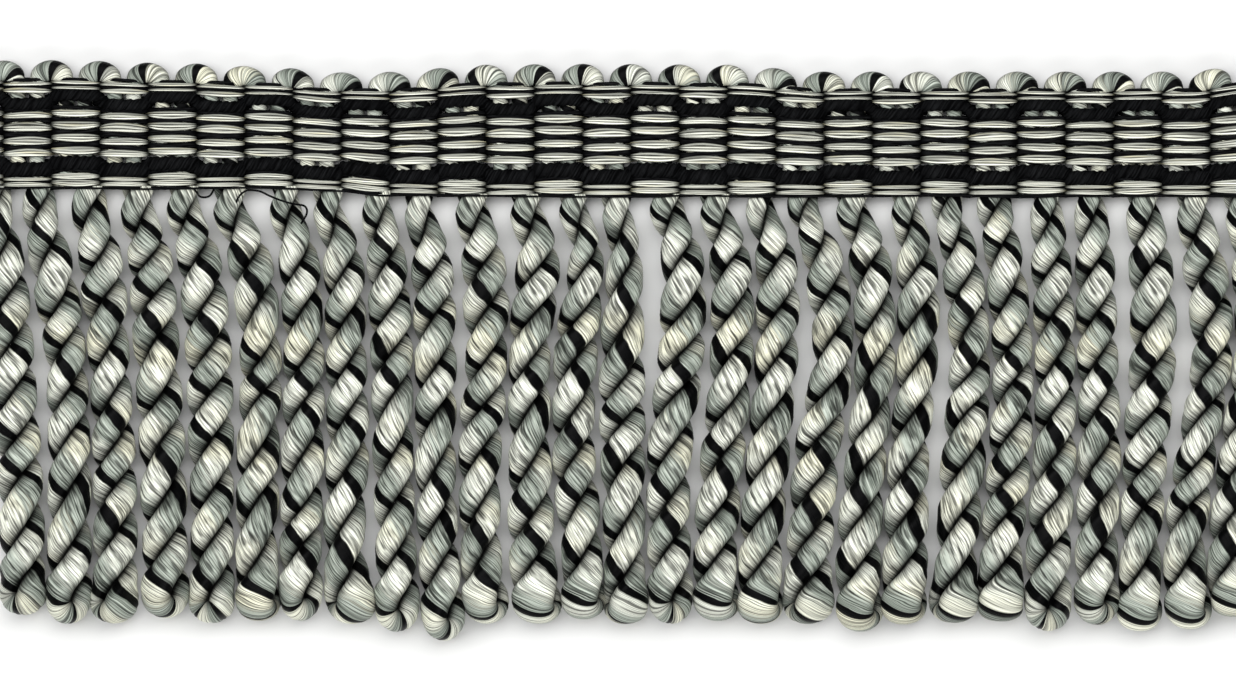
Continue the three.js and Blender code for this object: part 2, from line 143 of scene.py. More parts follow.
BULLIONS = (
    Bullion(
        sway=(2.2, 3.2, 4.4, 5.4, 6.0, 6.1),
        tip=65.4,
        valleys=(9.2, 15.6, 22.0, 28.4, 34.7, 41.1, 46.6, 54.0, 60.3),
        black=(0.50, 0.15, 0.45, 0.00, 0.30, -0.30, -0.20, 0.50, 0.50, 0.45),
    ),
    Bullion(
        sway=(1.7, 3.0, 5.2, 5.8, 5.8, 5.7),
        tip=66.6,
        valleys=(9.8, 15.5, 23.0, 28.4, 34.9, 40.9, 48.3, 56.3),
        black=(-0.25, -0.08, 0.40, -0.35, 0.00, 0.45, -0.42, 0.38, 0.45),
    ),
    Bullion(
        sway=(1.9, 3.3, 4.5, 5.3, 5.5, 5.3),
        tip=66.5,
        valleys=(10.1, 16.3, 22.0, 29.1, 35.6, 42.3, 47.8, 54.4),
        black=(0.50, 0.45, -0.35, 0.25, 0.35, 0.10, -0.25, -0.10, 0.45),
    ),
    Bullion(
        sway=(1.9, 3.5, 4.5, 5.3, 5.7, 5.7),
        tip=65.8,
        valleys=(11.5, 16.5, 21.8, 27.7, 35.6, 41.5, 49.4, 56.0),
        black=(-0.45, 0.25, -0.25, -0.05, 0.38, 0.45, 0.10, 0.38, -0.20),
    ),
    Bullion(
        sway=(1.6, 3.5, 5.0, 5.4, 5.5, 5.5),
        tip=66.5,
        valleys=(11.0, 16.2, 22.9, 29.1, 35.0, 41.5, 48.5, 55.2),
        black=(-0.40, 0.28, 0.18, 0.08, -0.30, -0.25, 0.45, 0.48, -0.25),
    ),
    Bullion(
        sway=(1.3, 3.8, 5.5, 5.2, 5.0, 5.2),
        tip=66.2,
        valleys=(11.7, 17.0, 23.0, 30.4, 35.3, 43.1, 49.7, 57.9),
        black=(-0.45, -0.20, 0.00, -0.30, -0.12, 0.45, 0.47, 0.35, -0.10),
    ),
    Bullion(
        sway=(2.3, 4.0, 4.8, 4.7, 4.4, 4.4),
        tip=66.2,
        valleys=(11.1, 17.4, 23.6, 30.6, 36.2, 43.5, 50.8, 56.0),
        black=(-0.40, 0.50, 0.33, 0.47, 0.00, 0.23, -0.30, -0.15, 0.20),
    ),
    Bullion(
        sway=(1.5, 3.4, 4.0, 4.2, 3.8, 4.9),
        tip=66.6,
        valleys=(12.2, 18.4, 24.9, 31.3, 37.9, 45.3, 52.7, 60.3),
        black=(-0.15, 0.40, 0.47, 0.38, 0.33, 0.25, 0.18, 0.00, 0.50),
    ),
    Bullion(
        sway=(1.6, 2.8, 3.6, 3.8, 4.2, 4.4),
        tip=67.7,
        valleys=(11.6, 17.0, 23.6, 29.5, 35.4, 43.4, 50.0, 57.1),
        black=(-0.42, -0.05, 0.28, -0.25, -0.05, -0.35, -0.38, 0.47, 0.33),
        swell=1.22,
    ),
    Bullion(
        sway=(0.7, 2.3, 3.0, 3.0, 3.4, 4.2),
        tip=68.9,
        valleys=(12.6, 18.5, 24.4, 31.4, 37.8, 45.3, 52.3, 58.8),
        black=(0.35, -0.35, -0.33, 0.45, 0.43, 0.38, 0.12, 0.28, -0.30),
    ),
    Bullion(
        sway=(1.4, 2.8, 3.4, 2.5, 2.6, 3.4),
        tip=66.6,
        valleys=(11.9, 17.3, 23.6, 30.4, 36.8, 43.1, 50.5, 57.5),
        black=(-0.45, -0.35, -0.10, 0.47, -0.38, 0.33, 0.32, 0.00, 0.05),
    ),
    Bullion(
        sway=(2.2, 3.8, 2.7, 2.7, 3.0, 3.8),
        tip=66.6,
        valleys=(12.1, 18.0, 24.4, 30.8, 37.1, 44.9, 52.0, 58.2),
        black=(-0.33, 0.50, 0.42, 0.45, 0.12, 0.33, -0.22, 0.08, 0.38),
    ),
    Bullion(
        sway=(2.0, 3.8, 2.4, 2.1, 3.2, 3.4),
        tip=66.0,
        valleys=(12.1, 17.6, 24.4, 30.3, 37.6, 43.8, 50.1, 57.5),
        black=(-0.30, 0.18, 0.45, -0.02, 0.15, 0.00, -0.20, -0.30, -0.42),
    ),
    Bullion(
        sway=(1.3, 2.4, 2.1, 2.2, 2.4, 2.6),
        tip=66.6,
        valleys=(12.8, 18.6, 26.2, 33.3, 39.0, 44.9, 53.0, 59.9),
        black=(0.38, 0.12, 0.05, 0.05, -0.28, -0.22, 0.40, -0.27, 0.10),
    ),
    Bullion(
        sway=(1.6, 3.6, 3.6, 2.0, 1.9, 2.2),
        tip=66.6,
        valleys=(11.1, 16.2, 23.8, 29.5, 35.0, 42.7, 49.7, 56.0),
        black=(-0.42, 0.50, 0.33, 0.45, 0.03, 0.35, -0.22, 0.05, 0.45),
    ),
    Bullion(
        sway=(1.6, 3.5, 3.9, 2.7, 1.6, 1.9),
        tip=66.2,
        valleys=(12.2, 17.0, 23.8, 29.5, 37.1, 43.4, 51.2, 57.7),
        black=(-0.33, -0.30, 0.50, -0.32, 0.35, -0.28, 0.10, 0.50, -0.40),
    ),
    Bullion(
        sway=(1.2, 3.2, 3.4, 2.3, 1.2, 1.2),
        tip=66.6,
        valleys=(11.4, 17.0, 23.7, 30.3, 37.5, 44.3, 51.4, 58.4),
        black=(0.12, -0.28, -0.45, 0.45, 0.42, 0.47, 0.35, 0.35, -0.20),
    ),
    Bullion(
        sway=(0.4, 2.9, 4.5, 2.4, 1.3, 1.1),
        tip=66.6,
        valleys=(9.7, 15.0, 21.3, 27.2, 34.3, 40.9, 47.6, 54.4, 60.6),
        black=(0.50, -0.25, -0.42, 0.47, 0.40, 0.36, 0.10, 0.00, -0.22, 0.45),
    ),
    Bullion(
        sway=(0.5, 2.7, 3.7, 2.5, 1.4, 1.6),
        tip=67.6,
        valleys=(12.0, 17.3, 24.6, 31.3, 39.0, 44.9, 51.9, 58.8),
        black=(-0.45, -0.35, 0.30, -0.25, -0.03, -0.25, -0.10, -0.35, 0.48),
    ),
    Bullion(
        sway=(1.2, 2.6, 2.9, 1.7, 1.2, 0.9),
        tip=66.7,
        valleys=(12.1, 17.8, 24.0, 30.8, 37.9, 45.0, 51.6, 58.5),
        black=(-0.35, 0.33, 0.45, 0.30, 0.35, 0.30, 0.05, 0.20, 0.45),
    ),
    Bullion(
        sway=(0.3, 1.9, 3.4, 2.6, 1.6, 1.2),
        tip=66.5,
        valleys=(8.4, 14.0, 20.0, 25.7, 32.3, 37.5, 44.9, 52.0, 60.0),
        black=(-0.40, 0.42, 0.33, -0.05, -0.08, -0.39, -0.47, -0.45, 0.40, 0.45),
    ),
    Bullion(
        sway=(0.2, 1.3, 2.6, 2.3, 1.1, 1.0),
        tip=66.3,
        valleys=(9.8, 14.7, 21.8, 28.1, 33.4, 40.2, 46.5, 52.0, 58.8),
        black=(-0.27, -0.35, 0.30, 0.50, 0.00, 0.30, -0.25, -0.03, 0.33, 0.45),
    ),
    Bullion(
        sway=(0.7, 1.2, 1.8, 1.8, 0.9, 0.9),
        tip=67.6,
        valleys=(11.7, 17.7, 24.0, 30.6, 37.1, 43.8, 50.4, 56.7),
        black=(-0.20, 0.37, 0.50, 0.20, 0.26, 0.00, 0.03, -0.12, -0.35),
        swell=1.22,
    ),
    Bullion(
        sway=(0.1, 0.6, 1.0, 1.3, 0.9, 0.9),
        tip=66.7,
        valleys=(11.4, 17.4, 24.0, 30.3, 36.7, 43.8, 50.1, 57.0),
        black=(-0.20, 0.47, 0.37, 0.30, 0.12, 0.15, -0.15, 0.03, 0.35),
    ),
    Bullion(
        sway=(0.7, 1.6, 2.0, 1.0, 0.3, 0.2),
        tip=67.6,
        valleys=(12.1, 17.6, 25.0, 31.6, 38.3, 44.9, 50.8, 59.3),
        black=(-0.25, -0.25, 0.45, -0.20, 0.10, 0.50, -0.20, 0.35, 0.45),
    ),
    Bullion(
        sway=(0.9, 2.2, 3.5, 1.4, -0.3, 0.4),
        tip=67.3,
        valleys=(12.5, 18.0, 24.6, 31.2, 37.5, 44.9, 50.4, 58.6),
        black=(-0.50, 0.00, 0.00, -0.15, -0.13, -0.40, -0.38, 0.30, 0.35),
    ),
    Bullion(
        sway=(0.8, 2.4, 2.7, 0.6, -0.8, -0.3),
        tip=65.6,
        valleys=(12.9, 19.0, 25.0, 31.4, 38.0, 44.9, 51.6, 58.2),
        black=(-0.30, 0.30, 0.45, 0.15, -0.35, 0.45, -0.10, -0.05, 0.50),
    ),
)


@dataclass(frozen=True)
class WarpRow:
    """Depth below the top edge and width of one warp over even and odd columns."""

    even_down: float
    even_width: float
    odd_down: float
    odd_width: float
    tones: tuple[float, ...]


RIBBON_ROWS = (
    WarpRow(0.45, 0.48, 0.62, 0.48, (0.45, 1.0)),
    WarpRow(1.20, 0.42, 1.60, 0.78, (0.40, 1.0)),
    WarpRow(4.70, 1.08, 4.97, 0.98, (0.35, 0.85, 1.0)),
    WarpRow(6.30, 1.18, 6.57, 1.32, (0.30, 0.80, 1.0)),
    WarpRow(8.05, 1.12, 8.50, 1.12, (0.40, 0.75, 1.0)),
    WarpRow(9.80, 1.18, 10.15, 1.12, (0.40, 0.85, 1.0)),
    WarpRow(13.32, 0.92, 13.72, 0.50, (0.55, 0.95, 0.80)),
    WarpRow(14.25, 0.90, 14.48, 0.62, (0.60, 0.85, 1.0)),
)

DARK_ROWS = (
    WarpRow(0.02, 0.42, 0.04, 0.42, (1.0,)),
    WarpRow(0.86, 0.34, 1.08, 0.34, (1.0,)),
    WarpRow(3.92, 0.46, 4.28, 0.42, (1.0,)),
    WarpRow(5.48, 0.52, 5.69, 0.55, (1.0,)),
    WarpRow(7.19, 0.66, 7.59, 0.72, (1.0,)),
    WarpRow(8.92, 0.62, 9.33, 0.60, (1.0,)),
    WarpRow(12.55, 0.50, 13.25, 0.40, (1.0,)),
    WarpRow(13.80, 0.12, 14.08, 0.30, (1.0,)),
    WarpRow(14.88, 0.30, 14.90, 0.30, (1.0,)),
)


def column_x(column: np.ndarray) -> np.ndarray:
    """Sideways place of a column, counted from the first one."""
    return (column - MIDDLE_COLUMN) * COLUMN_PITCH


def eased(share: np.ndarray) -> np.ndarray:
    """A share between 0 and 1 that starts and ends gently."""
    return share * share * (3.0 - 2.0 * share)


def stretches(stations: np.ndarray, places: np.ndarray) -> tuple[np.ndarray, np.ndarray]:
    """Finds the stretch between two stations on which each place lies.

    Args:
        stations: rising places.
        places: where to look. One beyond the stations counts as the nearest of them.

    Returns:
        The number of the station at the stretch's end, and the share of the way to it.
    """
    held = np.clip(places, stations[0], stations[-1])
    after = np.clip(np.searchsorted(stations, held), 1, len(stations) - 1)
    return after, (held - stations[after - 1]) / (stations[after] - stations[after - 1])


def heading_y(column: np.ndarray, down: np.ndarray) -> np.ndarray:
    """Height above the origin of a place in the bowed heading.

    Args:
        column: place along the heading, in columns.
        down: depth below the heading's top edge.

    Returns:
        Heights above the origin.
    """
    columns = np.array([station.column for station in HEADING_BOW])
    tops = np.array([station.top for station in HEADING_BOW])
    bottoms = np.array([station.bottom for station in HEADING_BOW])
    after, share = stretches(columns, column)
    ease = eased(share)
    top = tops[after - 1] + (tops[after] - tops[after - 1]) * ease
    bottom = bottoms[after - 1] + (bottoms[after] - bottoms[after - 1]) * ease
    return top + (bottom - top) * down / HEADING_HEIGHT


def curve(
    stations: np.ndarray, values: np.ndarray, slopes: np.ndarray, places: np.ndarray
) -> np.ndarray:
    """Smooth curve through a few values, held beyond the first and last.

    Args:
        stations: rising places at which the values are given.
        values: the values there.
        slopes: the curve's slopes there.
        places: where the curve is wanted.

    Returns:
        The curve's values at the places.
    """
    after, t = stretches(stations, places)
    span = stations[after] - stations[after - 1]
    start = (1.0 + 2.0 * t) * (1.0 - t) ** 2 * values[after - 1]
    start += t * (1.0 - t) ** 2 * span * slopes[after - 1]
    end = t * t * (3.0 - 2.0 * t) * values[after]
    end += t * t * (t - 1.0) * span * slopes[after]
    return start + end


def flowing(stations: np.ndarray, values: np.ndarray, places: np.ndarray) -> np.ndarray:
    """Smooth curve through a few values that starts and ends level.

    Args:
        stations: rising places at which the values are given.
        values: the values there.
        places: where the curve is wanted.

    Returns:
        The curve's values at the places.
    """
    slopes = np.zeros(len(stations))
    slopes[1:-1] = (values[2:] - values[:-2]) / (stations[2:] - stations[:-2])
    return curve(stations, values, slopes, places)


def signed_power(value: np.ndarray, power: np.ndarray | float) -> np.ndarray:
    """A power of the size of a value, which keeps the value's sign."""
    return np.sign(value) * np.abs(value) ** power


def smooth_share(value: np.ndarray, low: float, high: float) -> np.ndarray:
    """Eased share of the way from low to high, held at 0 and 1 beyond them."""
    return eased(np.clip((value - low) / (high - low), 0.0, 1.0))


def between(first: np.ndarray | float, second: np.ndarray | float, share: np.ndarray) -> np.ndarray:
    """Value at a share of the way from the first to the second."""
    return first + (second - first) * share


def travelled(*rows: np.ndarray) -> np.ndarray:
    """Distance from the start of a path to each of its points, from rows of coordinates."""
    steps = np.linalg.norm(np.diff(np.stack(rows), axis=1), axis=0)
    return np.concatenate(([0.0], np.cumsum(steps)))


def dressed(
    piece: bpy.types.Object, finish: bpy.types.Material, node: str | None = None
) -> bpy.types.Object:
    """Gives a piece its finish, and says what it rides on and stands for.

    Args:
        piece: the piece.
        finish: its material.
        node: the CAD node that it replaces, if any.

    Returns:
        The piece.
    """
    piece.data.materials.append(finish)
    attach(piece, "root")
    if node is not None:
        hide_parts(node)
    LOG.info("%s: %d faces", piece.name, len(piece.data.polygons))
    return piece


class Wander:
    """Gentle seeded unevenness: a sum of a few slow waves."""

    def __init__(self, seed: int, longest: float, waves: int = 4) -> None:
        """Draws the waves.

        Args:
            seed: fixes the draw.
            longest: length of the longest wave.
            waves: how many waves are added.
        """
        draw = np.random.default_rng(seed)
        self.lengths = longest / (1.0 + 0.7 * np.arange(waves) + 0.3 * draw.random(waves))
        self.starts = draw.random(waves) * FULL_TURN
        self.weights = 1.0 / (1.0 + np.arange(waves))
        self.weights /= self.weights.sum()

    def at(self, place: np.ndarray) -> np.ndarray:
        """Reads the unevenness.

        Args:
            place: where it is read, in the unit of the waves' lengths.

        Returns:
            Values between about -1 and 1.
        """
        total = np.zeros_like(np.asarray(place, dtype=float))
        for length, start, weight in zip(self.lengths, self.starts, self.weights):
            total += weight * np.sin(FULL_TURN * np.asarray(place) / length + start)
        return total


class Sheaf:
    """Closed tubes in one mesh, each rolled up from a grid of faces."""

    def __init__(self, name: str, tubes: int, around: int, steps: int) -> None:
        """Lays out the grids.

        Args:
            name: name of the piece.
            tubes: how many tubes it has.
            around: faces round a tube.
            steps: faces along a tube.
        """
        self.name = name
        blank = bmesh.new()
        blank.loops.layers.uv.new(STRAND_MAP)
        for _ in range(tubes):
            bmesh.ops.create_grid(
                blank, x_segments=around, y_segments=steps, size=GRID_HALF, calc_uvs=True
            )
        self.mesh = bpy.data.meshes.new(name)
        blank.to_mesh(self.mesh)
        blank.free()
        flat = np.empty(len(self.mesh.vertices) * 3, dtype=np.float32)
        self.mesh.vertices.foreach_get("co", flat)
        grid = flat.reshape(-1, 3).astype(float) + GRID_HALF
        self.tube = np.arange(len(grid)) // ((around + 1) * (steps + 1))
        self.turn = np.rint(grid[:, 0] * around) / around
        self.step = np.rint(grid[:, 1] * steps).astype(int)

    def roll(
        self, places: np.ndarray, strand: np.ndarray, tone: np.ndarray
    ) -> bpy.types.Object:
        """Moves the grids' corners into place and closes the tubes.

        Args:
            places: where each corner goes, in millimetres.
            strand: the strand map's value at each corner.
            tone: painted shade and highlight at each corner, and how dark each yarn is.

        Returns:
            The finished object, at the origin.
        """
        self.mesh.vertices.foreach_set("co", (places * MM).astype(np.float32).ravel())
        corners = np.empty(len(self.mesh.loops), dtype=np.int32)
        self.mesh.loops.foreach_get("vertex_index", corners)
        layer = self.mesh.uv_layers[STRAND_MAP]
        layer.data.foreach_set("uv", strand[corners].astype(np.float32).ravel())
        shade = self.mesh.attributes.new(SHADE_AND_TONE, "FLOAT", "POINT")
        shade.data.foreach_set("value", tone.astype(np.float32))
        closed = bmesh.new()
        closed.from_mesh(self.mesh)
        bmesh.ops.remove_doubles(closed, verts=closed.verts, dist=WELD_DISTANCE)
        rims = [edge for edge in closed.edges if edge.is_boundary]
        bmesh.ops.holes_fill(closed, edges=rims, sides=0)
        bmesh.ops.recalc_face_normals(closed, faces=closed.faces)
        for face in closed.faces:
            face.smooth = len(face.verts) == WALL_CORNERS
        closed.to_mesh(self.mesh)
        closed.free()
        piece = bpy.data.objects.new(self.name, self.mesh)
        bpy.context.scene.collection.objects.link(piece)
        return piece


@dataclass(frozen=True)
class Span:
    """A range of values, low to high, and what its two ends become."""

    low: float
    high: float
    bottom: float = 0.0
    top: float = 1.0


@dataclass(frozen=True)
class Fibres:
    """Noise drawn out along the strands.

    Across and along are how far it runs on for one turn of the strand map and for one millimetre.
    Layer picks the slice of noise, and detail is how fine it is.
    """

    across: float
    along: float
    layer: float = 0.0
    detail: float = 2.0


class NodeBoard:
    """A new material's node tree, with short calls to fill it."""

    def __init__(self, name: str) -> None:
        """Starts a material.

        Args:
            name: the material's name.
        """
        self.material = bpy.data.materials.new(name)
        self.material.use_nodes = True
        self.tree = self.material.node_tree
        self.shader = self.tree.nodes["Principled BSDF"]

    def add(self, kind: str, **settings: object) -> bpy.types.Node:
        """Adds a node and sets its properties.

        Args:
            kind: the node's type.
            settings: its properties, by name.

        Returns:
            The node.
        """
        node = self.tree.nodes.new(kind)
        for key, value in settings.items():
            setattr(node, key, value)
        return node

    def feed(self, slot: bpy.types.NodeSocket, entry: object) -> None:
        """Feeds a socket.

        Args:
            slot: the socket.
            entry: another socket to link it to, or the number or colour that it gets.
        """
        if isinstance(entry, bpy.types.NodeSocket):
            self.tree.links.new(entry, slot)
        elif isinstance(entry, tuple):
            slot.default_value = (*entry, 1.0)
        else:
            slot.default_value = entry

    def value(self, operation: str, *inputs: object) -> bpy.types.NodeSocket:
        """Adds a Math node.

        Args:
            operation: what it does.
            inputs: numbers or sockets, in order.

        Returns:
            Its result.
        """
        node = self.add("ShaderNodeMath", operation=operation)
        for slot, entry in zip(node.inputs, inputs):
            self.feed(slot, entry)
        return node.outputs[0]

    def noise(
        self, vector: bpy.types.NodeSocket, scale: float, detail: float = 2.0
    ) -> bpy.types.NodeSocket:
        """Adds a Noise Texture node.

        Args:
            vector: where it is read.
            scale: how many features there are to a unit of length.
            detail: how fine it is.

        Returns:
            Noise between 0 and 1.
        """
        node = self.add("ShaderNodeTexNoise")
        node.inputs["Scale"].default_value = scale
        node.inputs["Detail"].default_value = detail
        self.feed(node.inputs["Vector"], vector)
        return node.outputs["Fac"]

    def spread(self, source: bpy.types.NodeSocket, span: Span) -> bpy.types.NodeSocket:
        """Maps a value, and holds it beyond the ends.

        Args:
            source: the value.
            span: the range of the value and of the result.

        Returns:
            The mapped value.
        """
        node = self.add("ShaderNodeMapRange", clamp=True)
        self.feed(node.inputs["Value"], source)
        node.inputs["From Min"].default_value = span.low
        node.inputs["From Max"].default_value = span.high
        node.inputs["To Min"].default_value = span.bottom
        node.inputs["To Max"].default_value = span.top
        return node.outputs["Result"]

    def ramp(
        self, source: bpy.types.NodeSocket, stops: tuple[tuple[float, float], ...]
    ) -> bpy.types.NodeSocket:
        """Greys by a value.

        Args:
            source: the value.
            stops: places and levels of grey, in rising order.

        Returns:
            The grey.
        """
        node = self.add("ShaderNodeValToRGB")
        elements = node.color_ramp.elements
        while len(elements) < len(stops):
            elements.new(1.0)
        for element, (place, level) in zip(elements, stops):
            element.position = place
            element.color = (level, level, level, 1.0)
        self.feed(node.inputs["Fac"], source)
        return node.outputs["Color"]

    def tinted(
        self, share: object, base: object, other: object, blend: str = "MIX"
    ) -> bpy.types.NodeSocket:
        """Mixes two colours.

        Args:
            share: how much of the other colour, a number or a socket.
            base: first colour.
            other: second colour.
            blend: how they mix.

        Returns:
            The mixed colour.
        """
        node = self.add("ShaderNodeMix", data_type="RGBA", blend_type=blend)
        for number, entry in zip(COLOUR_MIX_INPUTS, (share, base, other)):
            self.feed(node.inputs[number], entry)
        return node.outputs[COLOUR_MIX_OUTPUT]

    def darkened(
        self, colour: bpy.types.NodeSocket, factor: bpy.types.NodeSocket
    ) -> bpy.types.NodeSocket:
        """Multiplies a colour by a value."""
        return self.tinted(1.0, colour, factor, "MULTIPLY")

    def coloured(self, colour: bpy.types.NodeSocket) -> None:
        """Gives the shader its colour."""
        self.feed(self.shader.inputs["Base Color"], colour)

    def set(self, **sockets: float) -> None:
        """Sets the shader's own sockets; an underscore in a name stands for a space."""
        for name, entry in sockets.items():
            self.shader.inputs[name.replace("_", " ")].default_value = entry


class YarnBoard(NodeBoard):
    """A node tree for yarn, which follows the piece's strand map and its attribute of painted shade
    and highlight.
    """

    def __init__(self, name: str) -> None:
        """Starts a material, with the two values of the strand map.

        Args:
            name: the material's name.
        """
        super().__init__(name)
        source = self.add("ShaderNodeUVMap", uv_map=STRAND_MAP)
        parts = self.add("ShaderNodeSeparateXYZ")
        self.feed(parts.inputs[0], source.outputs["UV"])
        self.turn = parts.outputs["X"]
        self.length = parts.outputs["Y"]

    def tone(self) -> bpy.types.NodeSocket:
        """The piece's attribute of painted shade and highlight, and how dark each yarn is."""
        return self.add("ShaderNodeAttribute", attribute_name=SHADE_AND_TONE).outputs["Fac"]

    def fibres(self, fibres: Fibres) -> bpy.types.NodeSocket:
        """Adds noise that is drawn out along the strands.

        Args:
            fibres: its measures.

        Returns:
            Noise between 0 and 1.
        """
        place = self.add("ShaderNodeCombineXYZ")
        self.feed(place.inputs["X"], self.value("MULTIPLY", self.turn, fibres.across))
        self.feed(place.inputs["Y"], self.value("MULTIPLY", self.length, fibres.along))
        place.inputs["Z"].default_value = fibres.layer
        return self.noise(place.outputs[0], 1.0, fibres.detail)

    def raised(self, height: bpy.types.NodeSocket, depth: float, strength: float) -> None:
        """Gives the shader a relief.

        Args:
            height: the relief, between 0 and 1.
            depth: its depth in millimetres.
            strength: how much of it shows.
        """
        node = self.add("ShaderNodeBump")
        node.inputs["Strength"].default_value = strength
        node.inputs["Distance"].default_value = depth * MM
        self.feed(node.inputs["Height"], height)
        self.feed(self.shader.inputs["Normal"], node.outputs["Normal"])


@dataclass(frozen=True)
class MixedCordFinish:
    """Soft cord of ivory, silver grey and black filament yarn.

    The stops say how much ivory and how much black there is round the cord, and how much painted
    shade falls in its creases and painted highlight on its crown.
    """

    ivory: tuple[float, float, float] = (0.80, 0.82, 0.72)
    warm_ivory: tuple[float, float, float] = (0.80, 0.79, 0.62)
    grey: tuple[float, float, float] = (0.235, 0.268, 0.228)
    silver: tuple[float, float, float] = (0.48, 0.525, 0.46)
    black: tuple[float, float, float] = (0.0010, 0.0011, 0.0013)
    wobble: Fibres = Fibres(0.75, 0.25)
    wobble_size: float = 0.10
    warmth: Fibres = Fibres(0.39, 0.13)
    warmth_span: Span = Span(0.45, 0.65)
    fine: Fibres = Fibres(42.0, 0.25, detail=3.0)
    # Fibre noise darkens the colour as painted shade between the filaments, finely and in sparser
    # stray lines.
    painted_filament_shade: Span = Span(0.38, 0.60, bottom=0.18)
    stray: Fibres = Fibres(14.0, 0.28, layer=4.0, detail=1.0)
    painted_stray_shade: Span = Span(0.34, 0.44, bottom=0.28)
    mingled: Fibres = Fibres(23.0, 0.2, layer=7.0)
    mingling: float = 0.7
    silver_span: Span = Span(0.42, 0.62)
    relief: float = 0.14
    ivory_stops: tuple[tuple[float, float], ...] = ((0.0, 1.0), (0.52, 1.0), (0.72, 0.0))
    black_stops: tuple[tuple[float, float], ...] = (
        (0.0, 1.0),
        (0.15, 1.0),
        (0.165, 0.0),
        (0.98, 0.0),
        (0.995, 1.0),
    )
    painted_shade_and_highlight_stops: tuple[tuple[float, float], ...] = (
        (0.0, 0.03),
        (0.015, 0.13),
        (0.06, 0.36),
        (0.20, 0.54),
        (0.55, 0.83),
        (1.0, 1.18),
    )

    def build(self) -> bpy.types.Material:
        """Makes the material.

        Returns:
            The finished material.
        """
        board = YarnBoard("mixed_cord_yarn")
        wobble = board.value("SUBTRACT", board.fibres(self.wobble), 0.5)
        phase = board.value("ADD", board.turn, board.value("MULTIPLY", wobble, self.wobble_size))
        share = board.value("FRACT", phase)
        warmth = board.spread(board.fibres(self.warmth), self.warmth_span)
        cream = board.tinted(warmth, self.ivory, self.warm_ivory)
        mingled = board.fibres(self.mingled)
        dull = board.tinted(board.spread(mingled, self.silver_span), self.grey, self.silver)
        straying = board.value("MULTIPLY", board.value("SUBTRACT", mingled, 0.5), self.mingling)
        strands = board.ramp(board.value("ADD", share, straying), self.ivory_stops)
        light = board.tinted(strands, dull, cream)
        fine = board.fibres(self.fine)
        # Painted shade between the filaments, in fine and in stray lines.
        light = board.darkened(light, board.spread(fine, self.painted_filament_shade))
        stray = board.fibres(self.stray)
        light = board.darkened(light, board.spread(stray, self.painted_stray_shade))
        colour = board.tinted(board.ramp(share, self.black_stops), light, self.black)
        # Painted shade in the creases and a painted highlight on the crown, read from the piece's
        # attribute.
        board.coloured(board.darkened(colour, board.ramp(board.tone(), self.painted_shade_and_highlight_stops)))
        board.raised(fine, self.relief, 0.8)
        board.set(Roughness=0.42, Specular_IOR_Level=0.05, Sheen_Weight=0.01, Sheen_Roughness=0.4)
        return board.material


@dataclass(frozen=True)
class RibbonFinish:
    """Ivory filament yarn laid side by side in flat ribbons."""

    ivory: tuple[float, float, float] = (0.80, 0.81, 0.71)
    # Dark end of the ribbons' colour: painted shade at the crossings, and partway towards it for
    # darker yarns.
    shaded: tuple[float, float, float] = (0.035, 0.038, 0.032)
    yellowed: tuple[float, float, float] = (0.66, 0.60, 0.36)
    yellowing: Fibres = Fibres(3.0, 0.15)
    yellowing_span: Span = Span(0.55, 0.75, top=0.55)
    fine: Fibres = Fibres(9.0, 0.12, layer=2.0, detail=3.0)
    # Fibre noise darkens the colour as painted shade between the filaments.
    painted_filament_shade: Span = Span(0.36, 0.58, bottom=0.30)
    # Painted highlight on the top of each yarn and painted shade down its sides.
    painted_top_light_side_shade: Span = Span(0.05, 0.17, bottom=1.3, top=0.04)
    relief: float = 0.07

    def build(self) -> bpy.types.Material:
        """Makes the material.

        Returns:
            The finished material.
        """
        board = YarnBoard("ribbon_yarn_ivory")
        # The attribute moves the colour from ivory towards the shaded colour: painted shade where
        # the yarns pinch at the crossings, and partway for the darker yarns.
        colour = board.tinted(board.tone(), self.shaded, self.ivory)
        yellowing = board.spread(board.fibres(self.yellowing), self.yellowing_span)
        colour = board.tinted(yellowing, colour, self.yellowed)
        fine = board.fibres(self.fine)
        # Painted shade between the filaments.
        colour = board.darkened(colour, board.spread(fine, self.painted_filament_shade))
        # Painted highlight on the top of each yarn and painted shade down its sides, by the place
        # round it.
        edge = board.value("SUBTRACT", board.value("FRACT", board.turn), 0.5)
        colour = board.darkened(
            colour, board.spread(board.value("ABSOLUTE", edge), self.painted_top_light_side_shade)
        )
        board.coloured(colour)
        board.raised(fine, self.relief, 0.7)
        board.set(Roughness=0.42, Specular_IOR_Level=0.07, Sheen_Weight=0.01, Sheen_Roughness=0.4)
        return board.material


@dataclass(frozen=True)
class BlackYarnFinish:
    """Black twisted yarn, nearly matt, with a faint painted sheen along its fibres."""

    black: tuple[float, float, float] = (0.001, 0.001, 0.0012)
    # Colour of the painted sheen along the fibres.
    painted_sheen: tuple[float, float, float] = (0.013, 0.0135, 0.0145)
    fine: Fibres = Fibres(14.0, 0.5, layer=1.0, detail=3.0)
    painted_sheen_span: Span = Span(0.42, 0.70)
    relief: float = 0.08

    def build(self, name: str) -> bpy.types.Material:
        """Makes the material.

        Args:
            name: the material's name.

        Returns:
            The finished material.
        """
        board = YarnBoard(name)
        fine = board.fibres(self.fine)
        # Painted sheen along the fibres, shown where the piece's attribute lets it.
        painted_sheen_share = board.value("MULTIPLY", board.spread(fine, self.painted_sheen_span), board.tone())
        board.coloured(board.tinted(painted_sheen_share, self.black, self.painted_sheen))
        board.raised(fine, self.relief, 0.7)
        board.set(Roughness=0.62, Specular_IOR_Level=0.015)
        return board.material


